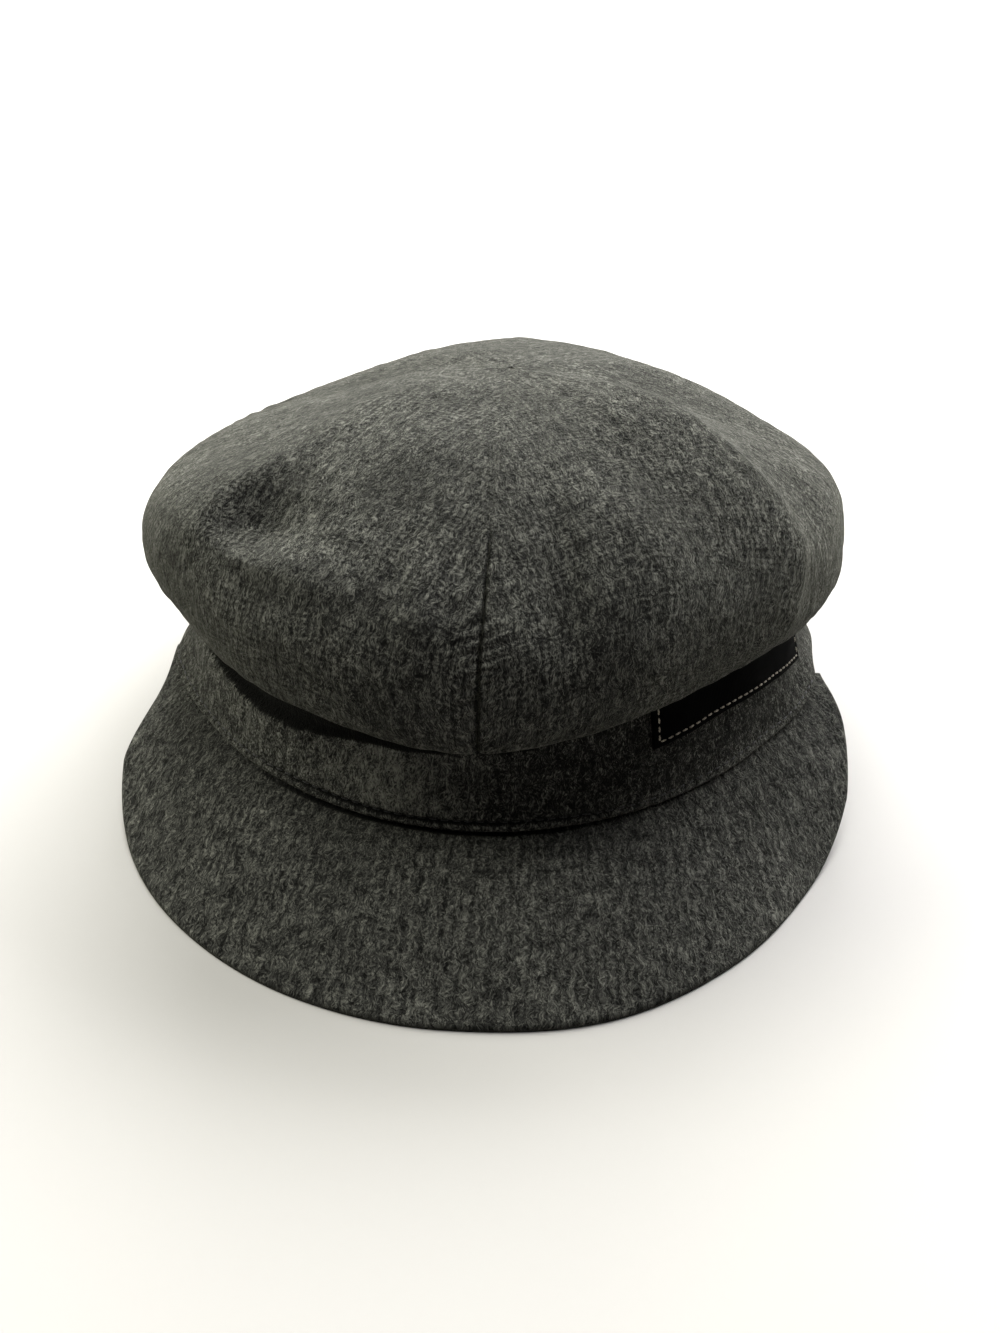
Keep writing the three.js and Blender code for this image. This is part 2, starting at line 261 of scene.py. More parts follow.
# Twelve sections round the crown: degrees, then mm out from the band's upper edge and mm up, but
# the crest's radius is a share of the shoulder's
sectionColumns = ["angle", "foldTurn", "foldOut", "foldZ", "bellyOut", "bellyZ",
                  "shoulderOut", "shoulderZ", "crestShare", "crestZ"]
sectionRows = np.array([
    [2, 0, 12, 27, 16.5, 49, 9, 62.5, 0.52, 88],
    [31, -3, 8, 32.5, 16, 50, 9, 65, 0.56, 88.5],
    [60, -9, 8, 37, 16, 49, 13, 64, 0.6, 89.5],
    [92, -4, 9, 34, 14.5, 52, 9, 65.5, 0.51, 84.5],
    [122, 0, 8.5, 32, 16, 51, 5.5, 62, 0.53, 85.5],
    [152, 0, 12, 29, 16.5, 50, 9, 64, 0.52, 84.5],
    [182, 0, 12, 27, 17, 49, 12, 66, 0.52, 85],
    [212, 0, 12, 29, 17.5, 51, 6.5, 62, 0.53, 85],
    [243, 0, 9, 32, 18, 51, 5.5, 62.5, 0.5, 81.7],
    [273, 0, 10, 32.5, 18, 51, 9, 64.5, 0.53, 83.5],
    [304, 0, 8, 34, 17, 53, 12, 67.5, 0.53, 86.5],
    [332, 0, 9.5, 30.5, 16.5, 51, 8, 64, 0.56, 88],
], float)
# Soft dents, and puffs where the depth is negative: section, height, their reaches, depth
dentRows = np.array([
    [0.42, 5.0, 0.13, 0.7, 3.0],
    [0.95, 5.3, 0.2, 0.4, -1.6],
    [1.5, 5.1, 0.25, 0.4, 0.8],
    [2.35, 5.3, 0.2, 0.6, 1.0],
    [2.5, 3.2, 0.4, 0.3, 1.8],
    [9.9, 3.2, 0.5, 0.3, 1.8],
    [10.22, 5.25, 0.16, 0.6, -2.4],
    [10.55, 5.28, 0.28, 0.22, 4.2],
    [10.9, 5.0, 0.4, 0.2, -2.8],
    [11.68, 4.9, 0.12, 0.5, -2.0],
])
# Each seam's groove and crease depths, the ridge that its turned-in cloth raises, and how far that
# reaches into the gore before it and the gore after it
# the crease depth also sets how dark the crease's painted shade is
seamRows = np.array([
    [0.7, 1.6, 0.5, 5.0, 5.0],
    [0.0, 0.0, 2.4, 11.0, 4.0],
    [0.7, 0.9, 0.8, 8.0, 8.0],
    [0.7, 0.9, 0.8, 8.0, 8.0],
    [0.7, 0.9, 0.8, 8.0, 8.0],
    [0.0, 0.0, 1.6, 12.0, 9.0],
])
goreNames = ["front_left", "side_left", "back_left", "back_right", "side_right", "front_right"]
sectionCount = len(sectionRows)
sectionAngle = 2 * np.pi / sectionCount


def bandTopZ(angle):
    # height of the band's upper edge, arched up at the sides by the square of the sine
    return cap["bandHeight"] + cap["bandUpperArch"] * np.sin(np.radians(angle)) ** 2


def sectionColumn(name, where):
    # Catmull-Rom through the section table, which goes on round the crown
    column = sectionRows[:, sectionColumns.index(name)]
    turnStep = 360.0 if name == "angle" else 0.0
    first = np.floor(where).astype(int)
    near = []
    for row in (first - 1, first, first + 1, first + 2):
        near.append(column[row % sectionCount] + turnStep * (row // sectionCount))
    return catmullRom(*near, where - first)


def profile(where, height):
    # centripetal Catmull-Rom, whose knots are apart by the root of their distance, through eight
    # points: band edge, neck, two on the round fold, belly, shoulder, crest and apex. Gives radius
    # and z.
    at = {name: sectionColumn(name, where) for name in sectionColumns}
    halfAxes = (cap["bandTopHalfWidth"], cap["bandTopHalfLength"])
    foldAngle = at["angle"] + at["foldTurn"]
    edge = ellipseRadius(foldAngle, *halfAxes)
    top = bandTopZ(foldAngle)
    shoulder = ellipseRadius(at["angle"], *halfAxes) + at["shoulderOut"]
    inner, outer = np.radians(crown["foldInnerTurn"]), np.radians(crown["foldOuterTurn"])
    r = crown["foldRadius"]
    foldMiddle = edge + at["foldOut"]
    zero = 0.0 * edge
    knots = [
        (edge + crown["lap"], top + crown["lap"]),
        (edge + crown["lap"] + crown["neckShare"] * (at["foldOut"] - r), top - crown["neckDrop"]),
        (foldMiddle - r * np.sin(inner), at["foldZ"] + r * (1 - np.cos(inner))),
        (foldMiddle + r * np.sin(outer), at["foldZ"] + r * (1 - np.cos(outer))),
        (edge + at["bellyOut"], at["bellyZ"]),
        (shoulder, at["shoulderZ"]),
        (shoulder * at["crestShare"], at["crestZ"]),
        (zero, zero + crown["apex"][2]),
    ]
    knots = np.stack([np.stack(knot, -1) for knot in knots], -2)
    # one more at each end: carried on straight below the edge, and mirrored beyond the apex
    before = 2 * knots[..., :1, :] - knots[..., 1:2, :]
    after = knots[..., -2:-1, :] * np.array([-1.0, 1.0])
    knots = np.concatenate([before, knots, after], -2)
    span = np.minimum(np.floor(height).astype(int), knots.shape[-2] - 4)
    t = (height - span)[..., None]

    def knotAt(step):
        # the knot that many steps on from the one before the span
        row = (span + step)[..., None, None].repeat(2, -1)
        return np.take_along_axis(knots, row, -2)[..., 0, :]

    a, b, c, d = [knotAt(step) for step in range(4)]
    ab, bc, cd = [np.sqrt(np.linalg.norm(q - p, axis=-1, keepdims=True))
                  for p, q in ((a, b), (b, c), (c, d))]
    startSlope = c - b + bc * ((b - a) / ab - (c - a) / (ab + bc))
    endSlope = c - b + bc * ((d - c) / cd - (d - b) / (bc + cd))
    square = 3 * (c - b) - 2 * startSlope - endSlope
    cube = 2 * (b - c) + startSlope + endSlope
    return b + t * (startSlope + t * (square + t * cube))


def crownPoint(where, height):
    # the profile set at its section's angle plus the fold's turn, and moved over to the apex
    rz = profile(where, height)
    turned = 1 - smoothStep(height, *crown["turnFade"])
    angle = sectionColumn("angle", where) + turned * sectionColumn("foldTurn", where)
    shift = smoothStep(height, *crown["apexShift"])
    point = around(angle, rz[..., 0], rz[..., 1])
    return point + shift[..., None] * np.array([crown["apex"][0], crown["apex"][1], 0.0])


def crownNormal(where, height):
    # cross product of a step across and a step along, over its length
    step = crown["normalStep"]
    across = crownPoint(where + step, height) - crownPoint(where - step, height)
    above = crownPoint(where, np.minimum(height + step, crown["lastHeight"]))
    along = above - crownPoint(where, np.maximum(height - step, 0))
    return unitVectors(np.cross(across, along))


def crownRelief(where, height):
    # what stands over the smooth crown, in mm: beside each seam a ridge that falls off as e to the
    # minus its distance, and puckers, a sine along the seam times a bell across it; minus bells for
    # crease and groove, and the table's dents, a bell each way; plus waves of lumps and slackness.
    # Also gives the painted shade in the crease, darker where the crease is deeper.
    radius = profile(where, height)[..., 0]
    seam = np.round(where / 2).astype(int)
    offset = (where - 2 * seam) * sectionAngle * radius
    point = crownPoint(where, height)
    groove, crease, ridge, before, after = [seamRows[seam % len(seamRows), k] for k in range(5)]

    foot, even = crown["footShare"], crown["fluffEven"]
    bare = 1 - smoothStep(height, *crown["napCover"])
    bare = bare * (foot + (1 - foot) * smoothStep(height, *crown["footRise"]))
    fluff = even + (1 - even) * waveNoise(point, crown["fluffSize"], crown["fluffSeed"])
    line = bare * fluff * crease * bump(offset, crown["creaseHalfWidth"])

    rounded = crown["ridgeRound"]
    far = (np.hypot(offset, rounded) - rounded) / np.where(offset < 0, before, after)
    side = ridge * np.exp(-far) * smoothStep(radius, *crown["ridgeFade"])
    side = side * smoothStep(height, *crown["ridgeRise"])
    side = side * (1 - smoothStep(np.abs(where - 2 * seam), *crown["ridgeEnd"]))

    run = height * crown["spanLength"] - crown["puckerSlant"] * offset
    stray = crown["puckerStray"] * np.sin(crown["puckerStrayTurn"] * height) + 2 * seam
    beat = np.sin(2 * np.pi * run / crown["puckerLength"] + stray)
    pucker = crown["puckerDepth"] * np.minimum(crease, 1.0) * bare * beat
    pucker = pucker * bump(offset, crown["puckerReach"])
    relief = side + pucker - line - bare * groove * bump(offset, crown["grooveHalfWidth"])

    for section, level, sectionReach, levelReach, depth in dentRows:
        dent = depth * bump(where - section, sectionReach)
        relief = relief - dent * bump(height - level, levelReach)

    uneven = unevenness(point, crown, smoothStep(radius, *crown["slackTip"]))
    # the crease's depth, up to 1, is also its painted shade
    return relief + smoothStep(height, *crown["lumpRise"]) * uneven, np.clip(line, 0, 1)


def gore(index):
    # one gore: its outer surface up from the band and its inner wall back down, ring by ring. A
    # ring's place across is the sine of its even share, so that rings crowd towards the seams.
    crowd = crown["columnCrowd"]
    spread = np.linspace(-1, 1, crown["columns"] + 1)
    shares = 0.5 + 0.5 * np.sin(spread * np.pi / 2 * crowd) / np.sin(np.pi / 2 * crowd)
    lows = np.linspace(0, crown["lowHeight"], crown["lowRows"])[:-1]
    highs = np.linspace(crown["lowHeight"], crown["tipHeight"], crown["rows"] - len(lows))
    heights = np.concatenate([lows, highs])
    middle = profile(np.full_like(heights, 2 * index + 1.0), heights)
    inset = crown["seamInset"] / (sectionAngle * middle[:, 0])
    where = 2 * index + inset[None, :] + shares[:, None] * (2 - 2 * inset[None, :])
    level = np.broadcast_to(heights[None, :], where.shape)
    smooth, normal = crownPoint(where, level), crownNormal(where, level)
    relief, pressed = crownRelief(where, level)
    outer = rest(smooth + normal * relief[..., None])
    inner = rest(smooth + normal * (relief - crown["wall"])[..., None])
    rings = np.concatenate([outer, inner[:, ::-1]], 1)

    # cloth coordinates: across the gore from its middle, and along from the apex down
    lengths = np.linalg.norm(np.diff(middle, axis=0), axis=1)
    lengths = np.concatenate([[0], np.cumsum(lengths)])
    fromApex = (lengths[-1] - lengths)[None, :]
    q = 2 * shares[:, None] - 1
    u = q * sectionAngle * middle[None, :, 0] + cut["gore"] * index
    v = fromApex - crown["grainDip"] * (1 - np.exp(-fromApex / crown["grainReach"])) * q * q
    cloth = np.stack([u, v], -1)
    inside = cloth[:, ::-1] + np.array([cut["goreInside"], 0.0])
    edge = inside[:, -1:] + np.array([0.0, crown["edgeCloth"]])
    uv = np.concatenate([cloth, inside, edge], 1)
    # painted shade of the seams' creases, on the outside and mirrored on the inner wall
    pressed = np.concatenate([pressed, pressed[:, ::-1]], 1)
    return closedBody("gore_" + goreNames[index], place(rings), uv, False, pressed)


gores = [gore(index) for index in range(len(goreNames))]
for piece, name in zip(gores, goreNames):
    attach(piece, "root")
    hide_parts("crown_" + name)
print("crown made: six gores")

# Head band. A span is in degrees from the front, below 0 on the wearer's right, or the same on both
# sides: where a form starts, is full, begins to fade and ends. A rise is in mm up from the hem.

band = {
    "columns": 450,
    "rows": 56,
    "lowRows": 18,            # closer rows for the seam and the topstitch
    "lowShare": 0.14,
    "hemSteps": 8,
    "closeStep": 0.6,         # mm of cloth from the last row round to the first
    "innerShare": 0.75,       # this share of the outside's relief shows inside
    "furrowUp": 2.7,          # the topstitch above the peak's seam
    "furrowWander": 0.25,     # a hand's wander, with this many waves round the band
    "furrowWaves": 9,
    "furrowDepth": 0.8,
    "furrowHalfWidth": 0.42,
    "furrowEnd": 84.0,
    "furrowFade": 12.0,
    # painted shade in the topstitch furrow, this dark
    "furrowShade": 0.7,
    "seamShade": 0.8,         # painted shade this dark in the peak's seam, and this far up
    "seamReach": 0.5,
    "bareRight": (20.0, 42.0),    # towards the sides the nap closes over furrow and seam
    "bareLeft": (2.0, 26.0),
    "napClosed": 0.9,
    "rollHeight": 0.4,        # the roll of cloth between seam and topstitch
    "rollHalfWidth": 0.9,
    "tuckDepth": 3.4,         # on the wearer's right the cloth folds in under the crown
    "tuckSpan": (-64, -50, -1, 12),
    "tuckUp": 18.8,           # its lip, which dips in the middle
    "tuckDrop": 3.4,
    "tuckMiddle": -38.0,
    "tuckHalfWidth": 17.0,
    "tuckLip": (-0.3, 1.5),   # mm from the lip, over which the cloth folds in
    "tuckClose": 3.0,         # towards the label the lip rises to the crown, between these angles
    "tuckCloseSpan": (-12, 10),
    "tuckTop": (27, 33),      # and above this it comes out again, inside the crown
    # painted shadow in the tuck under the crown's edge, this dark
    "tuckShadow": 1.2,
    "leanShare": 0.85,        # in front of it the cloth leans back by this share of the depth
    "leanSpan": (-38, -20, -1, 7),
    "leanUp": 4.0,
    "flareOut": 1.3,          # beside the peak's ends the cloth spreads out over them
    "flareSpan": (52, 70, 73, 84),
    "flareUp": 9.0,
    "underCrownShadow": 0.125,         # towards the label, painted shadow under the crown
    "underCrownSpan": (-9, 13, 52, 74),
    "underCrownRise": (1, 6),
    "paintedLight": 0.13,          # and beside it, before the tuck, painted light makes it paler
    "paintedLightSpan": (-30, -14, -14, 6),
    "paintedLightRise": (2, 6),
    "paintedLightMost": 0.3,
    "waistIn": 2.4,           # over the ears it draws in a little
    "waistSpan": (60, 80, 110, 135),
    "waistRise": (3, 12, 26, 34),
    "heelInRight": 2.5,       # and there its lower edge stands in from the peak's ends
    "heelInLeft": 1.3,
    "heelSpan": (76, 88, 112, 135),
    "lumpHeight": 0.13,
    "lumpSize": 7.0,
    "lumpSeed": 21,
    "lumpRise": (0.0, 3.0),   # mm up from the hem
    "slackHeight": 0.45,
    "slackSize": 30.0,
    "slackSeed": 22,
}


def bandLowZ(angle):
    # height of the band's lower edge, arched up at the sides by the square of the sine
    return cap["bandLowerArch"] * np.sin(np.radians(angle)) ** 2


def bandCentre(angle, share):
    # the band's outside: an ellipse that narrows from its lower to its upper edge
    halfWidth = cap["bandHalfWidth"] + (cap["bandTopHalfWidth"] - cap["bandHalfWidth"]) * share
    halfLength = cap["bandHalfLength"] + (cap["bandTopHalfLength"] - cap["bandHalfLength"]) * share
    lowerZ = bandLowZ(angle)
    z = lowerZ + (bandTopZ(angle) - lowerZ) * share
    return ellipseRadius(angle, halfWidth, halfLength), z


def bandPoint(angle, share, out):
    # the point of that outside at an angle and a share of the height, moved out level by out mm
    radius, z = bandCentre(angle, share)
    return around(angle, radius + out, z)


def signedAngle(angle):
    # the same angle between -180 and 180
    return (angle + 180.0) % 360.0 - 180.0


def seamBare(side):
    # 1 where the seam and topstitch lie open, less napClosed where the nap closes over them
    closed = np.maximum(smoothStep(-side, *band["bareRight"]), smoothStep(side, *band["bareLeft"]))
    return 1 - band["napClosed"] * closed


def furrowHeight(angle):
    # furrowUp plus a sine of furrowWander, with furrowWaves waves round the band
    wander = band["furrowWander"] * np.sin(np.radians(angle) * band["furrowWaves"])
    return band["furrowUp"] + wander


def bandRelief(angle, up):
    # what stands over the band's ellipse, in mm: the roll and the flare, minus the bell of the
    # furrow, the deeper of tuck and lean, the heel and the waist, each a depth times its windows,
    # plus waves of lumps and slackness. Also gives the painted shading: painted shade in furrow,
    # seam and tuck and under the crown, and painted light beside the tuck.
    side = signedAngle(angle)
    aside = np.abs(side)
    nearPeak = 1 - smoothStep(aside, band["furrowEnd"] - band["furrowFade"], band["furrowEnd"])
    bare = nearPeak * seamBare(side)
    furrowUp = furrowHeight(angle)
    furrow = bare * bump(up - furrowUp, band["furrowHalfWidth"])
    relief = nearPeak * band["rollHeight"] * bump(up - furrowUp * 0.5, band["rollHalfWidth"])

    lip = band["tuckUp"] - band["tuckDrop"] * bump(side - band["tuckMiddle"], band["tuckHalfWidth"])
    lip = lip + band["tuckClose"] * smoothStep(side, *band["tuckCloseSpan"])
    lipStart, lipFull = [lip + step for step in band["tuckLip"]]
    high = 1 - smoothStep(up, *band["tuckTop"])
    tuck = window(side, *band["tuckSpan"]) * smoothStep(up, lipStart, lipFull) * high
    lean = window(side, *band["leanSpan"]) * smoothStep(up, band["leanUp"], lip) * high
    foldedIn = band["tuckDepth"] * np.maximum(tuck, band["leanShare"] * lean)
    relief = relief - band["furrowDepth"] * furrow - foldedIn

    flare = window(aside, *band["flareSpan"]) * (1 - smoothStep(up, 0, band["flareUp"]))
    heelIn = np.where(side < 0, band["heelInRight"], band["heelInLeft"])
    waist = window(aside, *band["waistSpan"]) * window(up, *band["waistRise"])
    relief = relief + band["flareOut"] * flare - heelIn * window(aside, *band["heelSpan"])
    relief = relief - band["waistIn"] * waist

    point = bandPoint(angle, up / cap["bandHeight"], 0.0)
    relief = relief + smoothStep(up, *band["lumpRise"]) * unevenness(point, band, 1.0)

    # painted shade in the furrow, the seam's crease and the tuck
    low = bare * bump(up, band["seamReach"])
    pressed = band["furrowShade"] * furrow + band["seamShade"] * low + band["tuckShadow"] * tuck
    # painted shadow under the crown towards the label
    flat = window(side, *band["underCrownSpan"]) * smoothStep(up, *band["underCrownRise"])
    # painted light beside the tuck, given as painted shading below 0
    paintedLightMask = window(side, *band["paintedLightSpan"]) * smoothStep(up, *band["paintedLightRise"])
    pressed = pressed + band["underCrownShadow"] * flat - band["paintedLight"] * paintedLightMask
    return relief, np.clip(pressed, -band["paintedLightMost"], 1)


def makeBand():
    # rings round the band: outside up, over the top edge, inside down, and round the hem, which is
    # half a circle as wide as the wall
    angles = np.linspace(0, 360, band["columns"] + 1)[:-1][:, None]
    wall = cap["bandWall"]
    rise = bandTopZ(angles) - bandLowZ(angles)
    hemShare = wall / 2 / rise
    low = np.linspace(0, band["lowShare"], band["lowRows"])[:-1]
    high = np.linspace(band["lowShare"], 1, band["rows"] - band["lowRows"])
    shares = np.concatenate([low, high])[None, :]
    shares = hemShare * (1 - shares) + shares
    angleGrid = angles + 0 * shares
    relief, pressed = bandRelief(angleGrid, shares * rise)
    innerShare = band["innerShare"]
    outer = bandPoint(angleGrid, shares, relief)
    inner = bandPoint(angleGrid, shares, relief * innerShare - wall)[:, ::-1]
    turn = np.linspace(0, np.pi, band["hemSteps"] + 1)[None, 1:-1]
    radius, z = bandCentre(angles, hemShare)
    hemRadius = radius - wall / 2 - wall / 2 * np.cos(turn)
    hemRadius = hemRadius + relief[:, :1] * (innerShare + (1 - innerShare) * turn / np.pi)
    hem = around(angles + 0 * turn, hemRadius, z - wall / 2 * np.sin(turn))
    rings = rest(np.concatenate([outer, inner, hem], 1))

    # cloth coordinates: round the band, and along each ring
    girth = 2 * np.pi * (cap["bandHalfWidth"] + cap["bandHalfLength"]) / 2
    u = np.linspace(0, girth, band["columns"] + 1) + cut["band"]
    steps = np.linalg.norm(np.diff(rings[0], axis=0), axis=1)
    v = np.concatenate([[0], np.cumsum(steps), [steps.sum() + band["closeStep"]]])
    uv = np.stack(np.meshgrid(u, v, indexing="ij"), -1)
    # painted shade and painted light on the outside only
    pressed = np.concatenate([pressed, 0 * pressed, 0 * hemRadius], 1)
    return closedBody("band_cloth", place(rings), uv, True, pressed)


bandCloth = makeBand()
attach(bandCloth, "root")
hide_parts("head_band")
print("head band made")

# Peak

peak = {
    "wall": 3.0,
    "end": 80.0,
    "camber": 2.5,
    "liftStart": 45.0,
    "rows": 64,
    "rowCrowd": 1.15,         # rows crowd towards the seam
    "rimSteps": 12,
    "step": 0.75,
    "tuck": 0.9,              # how far the sewn edge goes in under the band's face
    "innerDrop": 2.4,         # at the seam its underside lies this far below the band's edge,
    "innerDropShare": 0.8,    # but by no more than this share of the wall
    "seamDepth": 0.5,         # the cloth rolls in at the band's seam
    "seamHalfWidth": 0.55,
    # painted shade in the seam's crease, this dark
    "seamShade": 0.8,
    "rimFlat": (7, 2),        # mm from the rim, over which it is smoothed to lie flat
    "seamFlat": (0.0, 5.0),   # mm from the seam, over which the slackness starts
    "lumpHeight": 0.15,
    "lumpSize": 8.0,
    "lumpSeed": 31,
    "slackHeight": 0.45,
    "slackSize": 34.0,
    "slackSeed": 32,
    "grainTurn": 0.53,        # share of the way round by which the threads fan out
}
# Degrees from the front, and the reach in mm on the wearer's left and right
peakTable = np.array([
    [0, 54, 54],
    [15, 53, 51],
    [30, 43.5, 43.5],
    [45, 31, 33.5],
    [60, 21.5, 21.5],
    [70, 12, 6],
    [80, 1.5, 0.7],
], float)


def peakReach(angle):
    # Catmull-Rom through the peak table, one column for each side, level across the front
    side = np.abs(angle)
    last = len(peakTable) - 1
    k = np.clip(np.searchsorted(peakTable[:, 0], side, side="left") - 1, 0, last - 1)
    share = (side - peakTable[k, 0]) / (peakTable[k + 1, 0] - peakTable[k, 0])
    column = np.where(angle < 0, 2, 1)
    rows = (k - 1, k, k + 1, k + 2)
    return catmullRom(*[peakTable[np.minimum(np.abs(row), last), column] for row in rows], share)


def peakRings(angles):
    # each ring: the top from the band outwards, round the rim, and back underneath. Top and
    # underside are a straight slope plus camber times half a sine wave; the rim is half a circle.
    angles = angles[:, None]
    reach = peakReach(angles)
    wall = np.minimum(peak["wall"], reach / 2)
    start = -peak["tuck"]
    edge = rest(bandPoint(angles, 0.0 * angles, 0.0 * angles))
    lift = smoothStep(np.abs(angles), peak["liftStart"], peak["end"])
    drop = np.minimum(peak["innerDrop"], peak["innerDropShare"] * wall)
    innerZ = edge[..., 2] + wall / 2 - drop
    rimZ = wall / 2 + (edge[..., 2] - wall / 2) * lift
    rimOut = reach - wall / 2
    slope = (rimZ - innerZ) / (rimOut - start)
    thickness = wall / 2 * np.hypot(1, slope)
    lean = np.arctan(slope)
    camber = peak["camber"] * reach / peakTable[0, 1]
    shares = np.linspace(0, 1, peak["rows"] + 1)[None, :] ** peak["rowCrowd"]

    def face(share, side):
        # side is 1 for the top and -1 for the underside, half the wall off the middle
        out = start + (rimOut - side * wall / 2 * np.sin(lean) - start) * share
        z = innerZ + slope * (out - start) + camber * np.sin(np.pi * share) + side * thickness
        return out, z

    turn = np.linspace(np.pi / 2, -np.pi / 2, peak["rimSteps"] + 2)[None, 1:-1]
    topOut, topZ = face(shares, 1)
    underOut, underZ = face(shares[:, ::-1], -1)
    roundOut = rimOut + wall / 2 * np.cos(lean + turn)
    roundZ = rimZ + wall / 2 * np.sin(lean + turn)
    out = np.concatenate([topOut, roundOut, underOut], 1)
    z = np.concatenate([topZ, roundZ, underZ], 1)
    z = z - cap["pressDepth"] * (1 - lift)
    point = edge + around(angles, out, 0 * out) - around(angles, 0 * out, 0 * out)

    # the cloth's own unevenness, on top only, and nothing where the rim touches down
    top = np.concatenate([np.ones_like(topOut), 0 * roundOut, 0 * underOut], 1)
    rimStart, rimEnd = [reach - inwards for inwards in peak["rimFlat"]]
    rimFade = 1 - smoothStep(out, rimStart, rimEnd)
    flat = np.stack([point[..., 0], point[..., 1], 0 * z], -1)
    uneven = unevenness(flat, peak, smoothStep(out, *peak["seamFlat"]))
    seam = top * seamBare(angles) * bump(out, peak["seamHalfWidth"])
    z = z + top * rimFade * uneven - peak["seamDepth"] * seam
    rings = np.stack([point[..., 0], point[..., 1], np.maximum(z, 0)], -1)
    # also the painted shade of the seam's crease
    return rings, out, peak["seamShade"] * seam


def makePeak():
    # rings side by side from the wearer's right to left
    count = int(round(2 * peak["end"] / peak["step"])) + 1
    angles = np.linspace(-peak["end"], peak["end"], count)
    # painted shade of the seam, for the wool's colour
    rings, out, pressed = peakRings(angles)
    # cloth coordinates: a fan whose centre lies behind, so that threads turn less than the rim does
    mean = (cap["bandHalfWidth"] + cap["bandHalfLength"]) / 2
    fan = np.radians(angles * peak["grainTurn"])[:, None]
    far = mean / peak["grainTurn"] + out
    under = np.cumsum(np.gradient(out, axis=1) < 0, axis=1) > 0
    u = far * np.sin(fan) + cut["peak"] + cut["peakUnder"] * under
    uv = np.stack([u, far * np.cos(fan)], -1)
    uv = np.concatenate([uv, uv[:, -1:]], 1)
    return closedBody("peak_cloth", place(rings), uv, False, pressed)


peakCloth = makePeak()
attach(peakCloth, "root")
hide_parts("peak")
print("peak made")

# Ribbon label

ribbon = {
    "start": 30.0,
    "end": 72.0,
    "foot": 0.43,             # shares of the band's height
    "footDrop": 0.11,
    "footBow": 0.09,
    "height": 0.33,
    "wall": 1.0,
    "columns": 130,
    "rows": 28,
    "length": 66.0,           # mm, about
    "width": 14.0,
    "threadRadius": 93.0,     # the threads are even round a circle of this radius
    "padHeight": 0.25,
    "turnedIn": 1.2,          # mm over which its edges turn in
    "stitchIn": 1.7,          # mm from its edges to the border stitches
    "stitchHalfWidth": 0.45,
    "stitchDraw": 0.8,        # share of padHeight by which they draw it down
}


def ribbonAlong(angle):
    # share of the way from the ribbon's start to its end
    return (angle - ribbon["start"]) / (ribbon["end"] - ribbon["start"])


def ribbonShare(angle, across):
    # share of the band's height: the foot drops evenly and bows by half a sine wave
    along = ribbonAlong(angle)
    foot = ribbon["foot"] - ribbon["footDrop"] * along + ribbon["footBow"] * np.sin(np.pi * along)
    return foot + ribbon["height"] * across


def ribbonRelief(angle, across):
    # padHeight times a smooth step in from the nearest edge, less a bell at the border stitches
    along = ribbonAlong(angle)
    fromFoot = np.minimum(across, 1 - across) * ribbon["width"]
    edge = np.minimum(fromFoot, np.minimum(along, 1 - along) * ribbon["length"])
    drawn = ribbon["stitchDraw"] * bump(edge - ribbon["stitchIn"], ribbon["stitchHalfWidth"])
    return ribbon["padHeight"] * (smoothStep(edge, 0.0, ribbon["turnedIn"]) - drawn)


def ribbonPoint(angle, across, out):
    # the point out mm over the ribbon's inner side, which lies seamGap over the slack band
    share = ribbonShare(angle, across)
    slack = bandRelief(angle + 0 * share, share * cap["bandHeight"])[0]
    return bandPoint(angle + 0 * share, share, cap["seamGap"] + slack + out)


def makeRibbon():
    # rings across the ribbon: outside from foot to top, inside back down
    angles = np.linspace(ribbon["start"], ribbon["end"], ribbon["columns"] + 1)[:, None]
    across = np.linspace(0, 1, ribbon["rows"] + 1)[None, :]
    outer = ribbonPoint(angles, across, ribbon["wall"] + ribbonRelief(angles, across))
    inner = ribbonPoint(angles, across, 0.0)[:, ::-1]
    rings = rest(np.concatenate([outer, inner], 1))
    v = ribbonShare(angles, across) * cap["bandHeight"]
    u = np.radians(angles) * ribbon["threadRadius"] + 0 * v
    cloth = np.stack([u, v], -1)
    uv = np.concatenate([cloth, cloth[:, ::-1], cloth[:, :1]], 1)
    return closedBody("label_ribbon", place(rings), uv, False)


labelRibbon = makeRibbon()
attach(labelRibbon, "root")
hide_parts("label")
print("ribbon label made")

# Stitches

stitch = {
    "topPitch": 3.1,
    "topLength": 2.5,
    "topRadius": 0.24,
    "topLift": 0.12,          # mm over the cloth
    "topTilt": 0.2,           # rise for each mm outwards that a stitch faces
    "topEnd": 9.0,            # degrees before the furrow's end
    "borderPitch": 2.3,
    "borderLength": 1.95,
    "borderRadius": 0.27,
    "borderLift": 0.1,
    "borderTilt": 0.22,
    "sink": 1.2,              # radii by which both ends go into the cloth
    "sides": 6,
    "rings": 5,
    "lookAround": 0.4,        # mm each way that give a stitch's direction
    "topSamples": 900,        # points along the band's line of stitches
    "longSamples": 300,       # and along the ribbon's long and short sides
    "shortSamples": 80,
}


